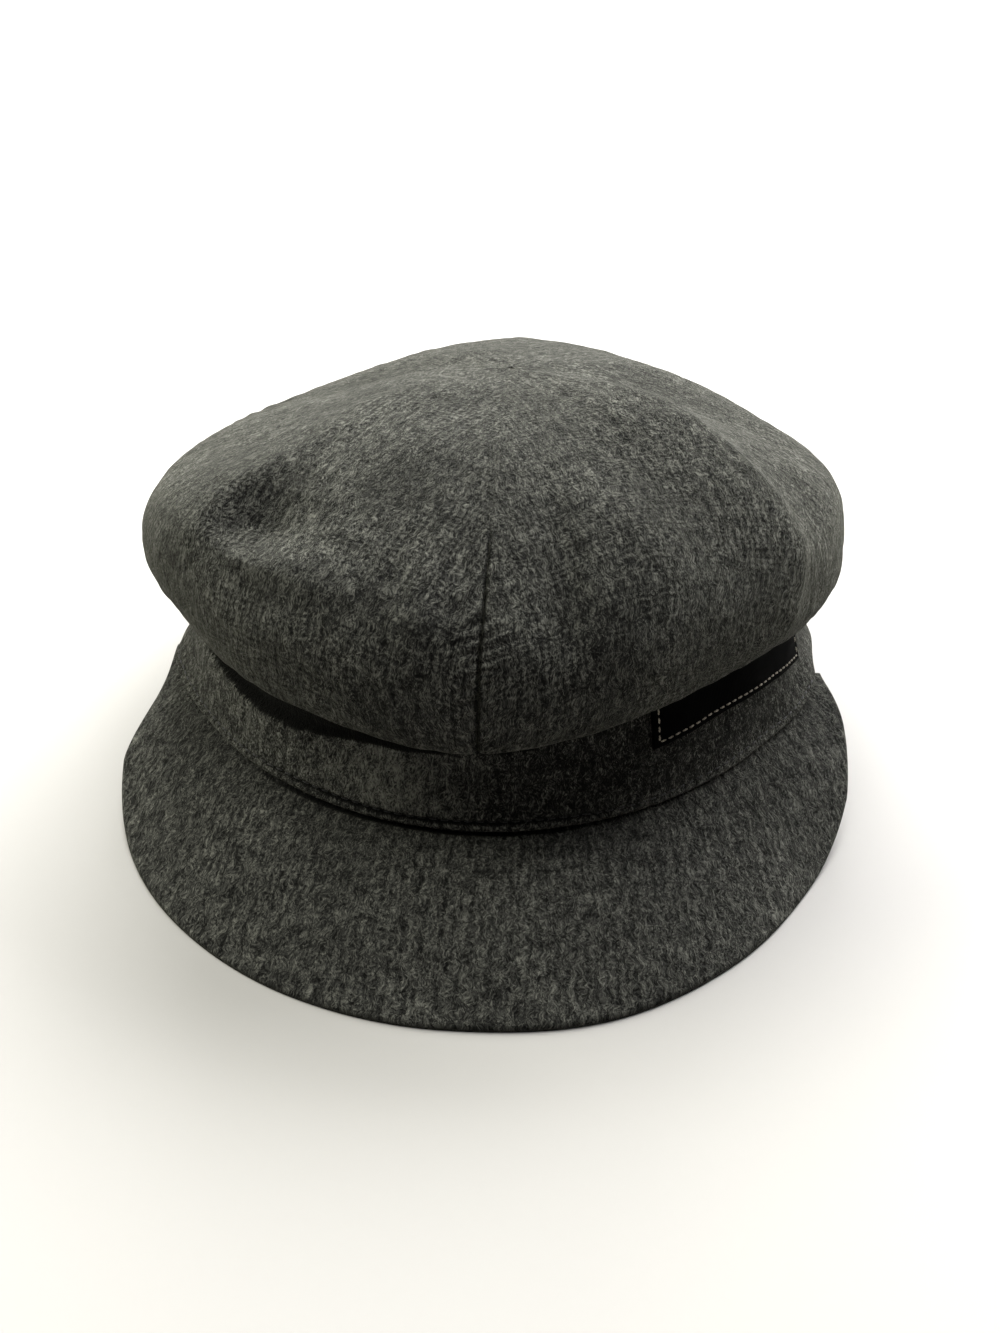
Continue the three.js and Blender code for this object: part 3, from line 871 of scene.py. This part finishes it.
def stitchRow(name, centres, along, up, length, radius):
    # each stitch is a bent capsule: radius times the root of 1 - x^4, sunk by a square of x, with x
    # from -1 to 1 along it
    count = len(centres)
    x = np.sin(np.linspace(-1, 1, stitch["rings"] + 2)[1:-1] * np.pi / 2)
    turn = np.linspace(0, 2 * np.pi, stitch["sides"] + 1)[:-1]
    wide = radius * (1 - np.abs(x) ** 4) ** 0.5
    sink = radius * stitch["sink"]
    body = np.stack([
        (x * length / 2)[:, None] + 0 * turn[None, :],
        wide[:, None] * np.cos(turn),
        wide[:, None] * np.sin(turn) - (sink * x ** 2)[:, None],
    ], -1).reshape(-1, 3)
    template = np.concatenate([body, [[-length / 2, 0, -sink], [length / 2, 0, -sink]]])
    side = unitVectors(np.cross(up, along))
    basis = np.stack([along, side, unitVectors(np.cross(along, side))], 1)
    points = centres[:, None, :] + np.einsum("pj,njk->npk", template, basis)

    # quads between the rings, and a fan of triangles to the point at each end
    n, size = stitch["sides"], len(template)
    i, k = np.meshgrid(np.arange(stitch["rings"] - 1), np.arange(n), indexing="ij")
    here, ahead = i * n, (i + 1) * n
    nextK = (k + 1) % n
    quads = np.stack([here + k, here + nextK, ahead + nextK, ahead + k], -1).reshape(-1, 4)
    k = np.arange(n)
    lastRing = (stitch["rings"] - 1) * n
    startCap = np.stack([k * 0 + size - 2, (k + 1) % n, k], -1)
    endCap = np.stack([k * 0 + size - 1, lastRing + k, lastRing + (k + 1) % n], -1)
    firstPoints = size * np.arange(count)[:, None, None]
    faces = []
    for part in (quads, startCap, endCap):
        faces += (part[None] + firstPoints).reshape(-1, part.shape[1]).tolist()
    mesh = bpy.data.meshes.new(name)
    mesh.from_pydata((points.reshape(-1, 3) * metresPerMm).tolist(), [], faces)
    mesh.polygons.foreach_set("use_smooth", np.ones(len(mesh.polygons), bool))

    # thread coordinates: mm along the stitch, and share of the way round it
    layer = mesh.uv_layers.new(name="clothMm")
    index = np.zeros(len(mesh.loops), np.int32)
    mesh.loops.foreach_get("vertex_index", index)
    roundShare = np.concatenate([np.tile(turn, stitch["rings"]), [0, 0]]) / (2 * np.pi)
    flat = np.stack([np.tile(template[:, 0], count), np.tile(roundShare, count)], -1)
    layer.data.foreach_set("uv", flat[index].astype(np.float32).ravel())
    mesh.update()
    return addObject(name, mesh)


def evenSteps(points, pitch):
    # places along a line of points, one pitch apart, with the way the line runs there
    steps = np.linalg.norm(np.diff(points, axis=0), axis=1)
    run = np.concatenate([[0], np.cumsum(steps)])
    count = max(int(run[-1] // pitch), 2)
    at = (np.arange(count) + 0.5) * run[-1] / count
    look = stitch["lookAround"]
    centres, ahead, behind = [
        np.stack([np.interp(spot, run, points[:, axis]) for axis in range(3)], -1)
        for spot in (at, np.minimum(at + look, run[-1]), np.maximum(at - look, 0))]
    return centres, unitVectors(ahead - behind)


def outwards(points, tilt):
    # level away from the cap's middle, plus tilt upwards, over its length
    level = unitVectors(points * np.array([1.0, 1.0, 0.0]))
    return unitVectors(level + np.array([0.0, 0.0, tilt]))


def topStitches():
    # the row of stitches in the band's furrow, above the peak's seam
    end = band["furrowEnd"] - stitch["topEnd"]
    angles = np.linspace(-end, end, stitch["topSamples"])
    up = furrowHeight(angles)
    rise = bandTopZ(angles) - bandLowZ(angles)
    line = rest(bandPoint(angles, up / rise, bandRelief(angles, up)[0] + stitch["topLift"]))
    centres, along = evenSteps(line, stitch["topPitch"])
    return stitchRow("band_topstitch", place(centres), along, outwards(centres, stitch["topTilt"]),
                     stitch["topLength"], stitch["topRadius"])


def borderStitches():
    # a plain row round the ribbon, stitchIn millimetres inside its edge
    alongIn = ribbon["stitchIn"] / ribbon["length"]
    acrossIn = ribbon["stitchIn"] / ribbon["width"]
    left, right = [ribbon["start"] + (ribbon["end"] - ribbon["start"]) * share
                   for share in (alongIn, 1 - alongIn)]
    corners = [(left, acrossIn), (right, acrossIn), (right, 1 - acrossIn), (left, 1 - acrossIn)]
    allCentres, allAlong = [], []
    for (angle0, across0), (angle1, across1) in zip(corners, corners[1:] + corners[:1]):
        samples = stitch["shortSamples"] if angle0 == angle1 else stitch["longSamples"]
        angles = np.linspace(angle0, angle1, samples)
        across = np.linspace(across0, across1, samples)
        out = ribbon["wall"] + ribbonRelief(angles, across) + stitch["borderLift"]
        centres, along = evenSteps(rest(ribbonPoint(angles, across, out)), stitch["borderPitch"])
        allCentres.append(centres)
        allAlong.append(along)
    centres, along = np.concatenate(allCentres), np.concatenate(allAlong)
    return stitchRow("label_border_stitches", place(centres), along,
                     outwards(centres, stitch["borderTilt"]),
                     stitch["borderLength"], stitch["borderRadius"])


topThread = topStitches()
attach(topThread, "root")
borderThread = borderStitches()
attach(borderThread, "root")
print("stitches made")

# Materials


def hexColour(text):
    # sRGB hex to linear: ((v + 0.055) / 1.055)^2.4, or v / 12.92 near black, and full alpha
    values = np.array([int(text[k:k + 2], 16) for k in (1, 3, 5)]) / 255.0
    linear = np.where(values <= 0.04045, values / 12.92, ((values + 0.055) / 1.055) ** 2.4)
    return (*[float(x) for x in linear], 1.0)


def addNode(tree, kind, links=None, **settings):
    # a node with its settings and links. A link goes to an input, by its name or its place, from a
    # number, a colour, another socket, or another node, whose first output is then meant.
    node = tree.nodes.new("ShaderNode" + kind)
    for name, value in settings.items():
        setattr(node, name, value)
    for name, value in (links or {}).items():
        value = value.outputs[0] if isinstance(value, bpy.types.Node) else value
        if isinstance(value, bpy.types.NodeSocket):
            tree.links.new(value, node.inputs[name])
        else:
            node.inputs[name].default_value = value
    return node


def newMaterial(name):
    # a material with an empty node tree
    material = bpy.data.materials.new(name)
    material.use_nodes = True
    material.node_tree.nodes.clear()
    return material, material.node_tree


def sineSum(tree, coordinates, rows):
    # sum of share times sin(2 pi x / length), a row for each: axis of x, length in mm and share
    parts = addNode(tree, "SeparateXYZ", {0: coordinates})
    total = 0.0
    for axis, length, share in rows:
        wave = addNode(tree, "Math", {0: parts.outputs[axis], 1: 2 * math.pi / length},
                       operation="MULTIPLY")
        wave = addNode(tree, "Math", {0: wave}, operation="SINE")
        total = addNode(tree, "Math", {0: wave, 1: share, 2: total}, operation="MULTIPLY_ADD")
    return total


def shareSum(tree, layers, shares):
    # sum of each named layer times its share
    total = 0.0
    for layer, share in shares.items():
        total = addNode(tree, "Math", {0: layers[layer], 1: share, 2: total},
                        operation="MULTIPLY_ADD")
    return total


def brushedWool(name, look):
    # Woollen cloth knitted coarse, then brushed: light and dark fibres are combed along the cloth
    # over a rib of loops, so the eye sees short grey strands with dark pits between them, a few
    # fine pale hairs, and a bloom at grazing angles. The pits are dark partly from the fibres' own
    # colour and partly from painted shade, which follows the nap's low places.
    material, tree = newMaterial(name)
    cloth = addNode(tree, "UVMap", uv_map="clothMm")
    solid = addNode(tree, "TexCoord").outputs["Object"]
    solidMm = addNode(tree, "VectorMath", {0: solid, 1: (1 / metresPerMm,) * 3},
                      operation="MULTIPLY")

    # threads wander by up to a millimetre
    stray = addNode(tree, "TexNoise", {"Vector": solidMm, "Scale": look["strayScale"],
                                       "Detail": 3.0}).outputs["Color"]
    stray = addNode(tree, "VectorMath", {0: stray, 1: (0.5, 0.5, 0.5)}, operation="SUBTRACT")
    stray = addNode(tree, "VectorMath", {0: stray, 1: (look["stray"], look["stray"], 0.0)},
                    operation="MULTIPLY")
    threads = addNode(tree, "VectorMath", {0: cloth, 1: stray}, operation="ADD")

    # rib of loops, clearer in some patches than in others
    rib = sineSum(tree, threads, look["loops"])
    patches = addNode(tree, "TexNoise", {"Vector": solidMm, "Scale": look["patchScale"],
                                         "Detail": 2.0})
    patches = addNode(tree, "MapRange", {"Value": patches, "From Min": 0.4, "From Max": 0.6,
                                         "To Min": 0.3, "To Max": 1.0})
    rib = addNode(tree, "Math", {0: rib, 1: patches}, operation="MULTIPLY")

    # combed strands, specks as fine as the render can show, and clumps
    layers = {}
    for layer, (size, detail, roughness, distortion) in look["layers"].items():
        laid = addNode(tree, "Mapping", {"Vector": threads, "Scale": (*size, 1.0)},
                       vector_type="TEXTURE")
        layers[layer] = addNode(tree, "TexNoise", {
            "Vector": laid, "Scale": 1.0, "Detail": detail, "Roughness": roughness,
            "Distortion": distortion}, noise_dimensions="2D")

    # loose hairs, lying two ways across the grain
    hairs = 0.0
    for turn in look["hairTurns"]:
        laid = addNode(tree, "Mapping", {
            "Vector": threads, "Rotation": (0.0, 0.0, math.radians(turn)),
            "Scale": (*look["hair"], 1.0)}, vector_type="TEXTURE")
        lying = addNode(tree, "TexNoise", {
            "Vector": laid, "Scale": 1.0, "Detail": 1.0, "Roughness": 0.5,
            "Distortion": 0.6}, noise_dimensions="2D")
        hairs = addNode(tree, "Math", {0: lying, 1: hairs}, operation="MAXIMUM")
    hairs = addNode(tree, "MapRange", {"Value": hairs, "From Min": 0.64, "From Max": 0.82,
                                       "To Min": 0.0, "To Max": 1.0})

    # all of them together choose the shade; the painted shading darkens it with painted shade in
    # seams, furrows, the tuck and under the crown, and lightens it with painted light beside the
    # tuck
    layers["rib"], layers["hairs"] = rib, hairs
    layers["pressed"] = addNode(tree, "Attribute", attribute_name="pressed").outputs["Fac"]
    ramp = addNode(tree, "ValToRGB", {"Fac": shareSum(tree, layers, look["shadeShares"])})
    stops = ramp.color_ramp.elements
    stops[0].position, stops[0].color = look["stops"][0], hexColour(look["shades"][0])
    stops[1].position, stops[1].color = look["stops"][-1], hexColour(look["shades"][-1])
    for at, colour in list(zip(look["stops"], look["shades"]))[1:-1]:
        stops.new(at).color = hexColour(colour)

    # broad drifts of shade where the nap has been stroked or rubbed; the band's and the peak's
    # ranges are paler than the crown's, as painted light. Inputs 6 and 7 of a Mix node are its two
    # colours.
    driftAndPaintedLight = addNode(tree, "TexNoise", {"Vector": solidMm, "Scale": look["driftScale"],
                                       "Detail": 3.0, "Roughness": 0.5})
    darkest, palest = look["driftAndPaintedLight"]
    driftAndPaintedLight = addNode(tree, "MapRange", {"Value": driftAndPaintedLight, "From Min": 0.32, "From Max": 0.68,
                                       "To Min": darkest, "To Max": palest})
    grey = addNode(tree, "CombineColor", {0: driftAndPaintedLight, 1: driftAndPaintedLight, 2: driftAndPaintedLight})
    tone = addNode(tree, "Mix", {0: 1.0, 6: ramp, 7: grey}, data_type="RGBA", blend_type="MULTIPLY")

    raised = addNode(tree, "Bump", {
        "Height": shareSum(tree, layers, look["heightShares"]), "Strength": 1.0,
        "Distance": look["napHeight"] * metresPerMm})
    shader = addNode(tree, "BsdfPrincipled", {
        "Base Color": tone.outputs[2], "Roughness": 0.96, "IOR": 1.54, "Specular IOR Level": 0.08,
        "Sheen Weight": look["sheen"], "Sheen Roughness": look["sheenRoughness"],
        "Sheen Tint": hexColour(look["sheenTint"]), "Normal": raised})
    addNode(tree, "OutputMaterial", {"Surface": shader})
    return material


# Sizes are in mm and scales in waves for each mm
crownLook = {
    "shades": ("#080807", "#181816", "#363633", "#55554f", "#74746c"),
    "stops": (0.4, 0.451, 0.515, 0.576, 0.652),
    "layers": {                # width and length, detail, roughness, distortion
        "strands": ((0.5, 1.0), 4.0, 0.6, 0.25),   # coarser than real strands, so that they show
        "specks": ((0.3, 0.5), 2.0, 0.6, 0.0),
        "clumps": ((2.2, 4.0), 2.0, 0.5, 0.0),
    },
    # the last share is for painted shade, which darkens the wool, and painted light, given below 0,
    # which lightens it
    "shadeShares": {"strands": 0.48, "specks": 0.26, "clumps": 0.26, "rib": 0.045, "hairs": 0.15,
                    "pressed": -0.45},
    "heightShares": {"strands": 1.0, "specks": 0.35, "hairs": 0.2, "rib": 0.18},
    "napHeight": 0.5,
    "hair": (0.22, 1.7),
    "hairTurns": (24, -31),
    "loops": ((1, 1.7, 0.5), (0, 2.1, 0.65)),  # axis, mm from loop to loop, share
    "patchScale": 0.045,
    "stray": 3.6,
    "strayScale": 0.25,
    "driftAndPaintedLight": (0.53, 0.98),     # the shade is multiplied by these, from darkest to palest
    "driftScale": 0.04,
    "sheen": 0.17,
    "sheenRoughness": 0.28,
    "sheenTint": "#dcddc2",
}
# band and peak: the crown's wool with paler ranges of shade, as painted light
bandLook = dict(
    crownLook, sheen=0.08, driftAndPaintedLight=(0.95, 1.32),
    shadeShares=dict(crownLook["shadeShares"], rib=0.02),
    heightShares=dict(crownLook["heightShares"], rib=0.1))
peakLook = dict(
    crownLook, sheen=0.085, driftAndPaintedLight=(0.79, 1.16), stops=(0.36, 0.43, 0.515, 0.6, 0.7),
    shadeShares=dict(crownLook["shadeShares"], rib=0.04),
    loops=((1, 1.7, 0.15), (0, 2.1, 0.8)))


def wovenRibbon(name, look):
    # Polyester ribbon woven with fine cross ribs: black, with hardly any gloss and a little lint
    material, tree = newMaterial(name)
    cloth = addNode(tree, "UVMap", uv_map="clothMm")
    lint = addNode(tree, "TexNoise", {"Vector": cloth, "Scale": look["lintScale"], "Detail": 4.0,
                                      "Roughness": 0.7})
    lint = addNode(tree, "MapRange", {"Value": lint, "From Min": 0.56, "From Max": 0.8,
                                      "To Min": 0.0, "To Max": 0.5})
    black, pale = hexColour(look["black"]), hexColour(look["lint"])
    colour = addNode(tree, "Mix", {0: lint, 6: black, 7: pale}, data_type="RGBA")
    raised = addNode(tree, "Bump", {
        "Height": sineSum(tree, cloth, look["weave"]), "Strength": 0.7,
        "Distance": look["weaveHeight"] * metresPerMm})
    shader = addNode(tree, "BsdfPrincipled", {
        "Base Color": colour.outputs[2], "Roughness": 0.85, "IOR": 1.5,
        "Specular IOR Level": 0.02, "Normal": raised})
    addNode(tree, "OutputMaterial", {"Surface": shader})
    return material


def spunThread(name, look):
    # Spun polyester sewing thread in two plies: slanting light and dark stripes on each stitch, by
    # half of 1 + sin(2 pi x / ply + 4 pi share), with x in mm along it and the share round it. The
    # dark stripes are painted shade in the grooves between the plies, where the bump is lowest.
    material, tree = newMaterial(name)
    cloth = addNode(tree, "UVMap", uv_map="clothMm")
    parts = addNode(tree, "SeparateXYZ", {0: cloth})
    turn = addNode(tree, "Math", {0: parts.outputs[1], 1: 4 * math.pi}, operation="MULTIPLY")
    turn = addNode(tree, "Math", {0: parts.outputs[0], 1: 2 * math.pi / look["ply"], 2: turn},
                   operation="MULTIPLY_ADD")
    twist = addNode(tree, "Math", {0: turn}, operation="SINE")
    twist = addNode(tree, "Math", {0: twist, 1: 0.5, 2: 0.5}, operation="MULTIPLY_ADD")
    colour = hexColour(look["colour"])
    grooveShade = tuple(look["plyGrooveShade"] * c for c in colour[:3]) + (1.0,)
    tone = addNode(tree, "Mix", {0: twist, 6: grooveShade, 7: colour}, data_type="RGBA")
    raised = addNode(tree, "Bump", {"Height": twist, "Strength": 0.8,
                                    "Distance": look["plyHeight"] * metresPerMm})
    shader = addNode(tree, "BsdfPrincipled", {
        "Base Color": tone.outputs[2], "Roughness": 0.7, "IOR": 1.5, "Specular IOR Level": 0.3,
        "Sheen Weight": 0.2, "Normal": raised})
    addNode(tree, "OutputMaterial", {"Surface": shader})
    return material


ribbonLook = {
    "black": "#020202",
    "lint": "#0b0b0a",
    "lintScale": 1.4,
    "weave": ((0, 0.55, 1.0), (1, 0.4, 0.4)),  # axis, mm from thread to thread, share
    "weaveHeight": 0.06,
}
topThreadLook = {"colour": "#2a2a28", "plyGrooveShade": 0.45, "ply": 0.9, "plyHeight": 0.1}
borderThreadLook = dict(topThreadLook, colour="#b3aa98", ply=0.8)

crownWool = brushedWool("crown_brushed_wool", crownLook)
bandWool = brushedWool("band_brushed_wool", bandLook)
peakWool = brushedWool("peak_brushed_wool", peakLook)
ribbonWeave = wovenRibbon("label_woven_ribbon", ribbonLook)
darkThread = spunThread("topstitch_spun_thread", topThreadLook)
paleThread = spunThread("label_spun_thread", borderThreadLook)
for piece in gores:
    piece.data.materials.append(crownWool)
for piece, material in ((bandCloth, bandWool), (peakCloth, peakWool), (labelRibbon, ribbonWeave),
                        (topThread, darkThread), (borderThread, paleThread)):
    piece.data.materials.append(material)
print("materials made")

# Floor, light and camera, in metres

studio = {
    "floorColour": "#aeaca9",
    "floorHalf": 3.0,
    "skyColour": "#eef0f2",
    "skyStrength": 0.02,
    "lampSize": 0.9,
    "lampAim": (0.0, 0.0, 0.04),
    # watts, where it hangs, and its tint, with left and right as the camera sees them
    "lamps": {
        "back_softbox": (50.0, (0.0, 1.1, 0.7), "#ffffff"),
        "left_softbox": (20.5, (-1.03, 0.28, 0.72), "#fffff0"),
        "right_softbox": (30.0, (0.8, 0.85, 0.85), "#ffffff"),
        "top_softbox": (11.0, (0.0, 0.0, 1.3), "#ffffff"),
    },
}


def makeFloor():
    # a plain square sheet, level with the surface that the cap rests on
    half = studio["floorHalf"]
    mesh = bpy.data.meshes.new("floor")
    corners = [(-half, -half, 0), (half, -half, 0), (half, half, 0), (-half, half, 0)]
    mesh.from_pydata(corners, [], [(0, 1, 2, 3)])
    floor = addObject("floor", mesh)
    material, tree = newMaterial("floor_matt_paper")
    shader = addNode(tree, "BsdfPrincipled", {
        "Base Color": hexColour(studio["floorColour"]), "Roughness": 0.9,
        "Specular IOR Level": 0.2})
    addNode(tree, "OutputMaterial", {"Surface": shader})
    mesh.materials.append(material)


def softbox(name, power, at, tint):
    # a square lamp whose -Z looks along lampAim - at
    light = bpy.data.lights.new(name, "AREA")
    light.color = hexColour(tint)[:3]
    light.energy, light.size, light.shape = power, studio["lampSize"], "SQUARE"
    lamp = addObject(name, light)
    lamp.location = at
    aim = Vector(studio["lampAim"]) - Vector(at)
    lamp.rotation_euler = aim.to_track_quat("-Z", "Y").to_euler()


makeFloor()
for lampName, lampRow in studio["lamps"].items():
    softbox(lampName, *lampRow)
world = bpy.data.worlds.new("studio")
world.use_nodes = True
world.node_tree.nodes["Background"].inputs[0].default_value = hexColour(studio["skyColour"])
world.node_tree.nodes["Background"].inputs[1].default_value = studio["skyStrength"]
bpy.context.scene.world = world
bpy.context.scene.view_settings.view_transform = "Standard"

view = {
    "azimuth": 5.0,
    "elevation": 30.0,
    "distance": 0.6,
    "target": (0.00056, 0.005583, 0.042),
    "pixelsPerUnit": 2078.0,   # focal length in pixels of a 1000 by 1333 frame
    "frameHeight": 1333.0,
    "offset": (5.1, -70.3),    # pixels
    "sensorWidth": 36.0,       # mm
    "clipStart": 0.01,
}
azimuth, elevation = math.radians(view["azimuth"]), math.radians(view["elevation"])
level = math.cos(elevation)
back = Vector((math.sin(azimuth) * level, -math.cos(azimuth) * level, math.sin(elevation)))
right = Vector((math.cos(azimuth), math.sin(azimuth), 0.0))
camera = bpy.data.cameras.new("camera")
camera.sensor_width = view["sensorWidth"]
camera.lens = view["pixelsPerUnit"] * camera.sensor_width / view["frameHeight"]
camera.shift_x = view["offset"][0] / view["frameHeight"]
camera.shift_y = view["offset"][1] / view["frameHeight"]
camera.clip_start = view["clipStart"]
cameraObject = addObject("camera", camera)
turned = Matrix((right, back.cross(right), back)).transposed().to_4x4()
stand = Vector(view["target"]) + back * view["distance"]
cameraObject.matrix_world = Matrix.Translation(stand) @ turned
bpy.context.scene.camera = cameraObject
print("studio made")
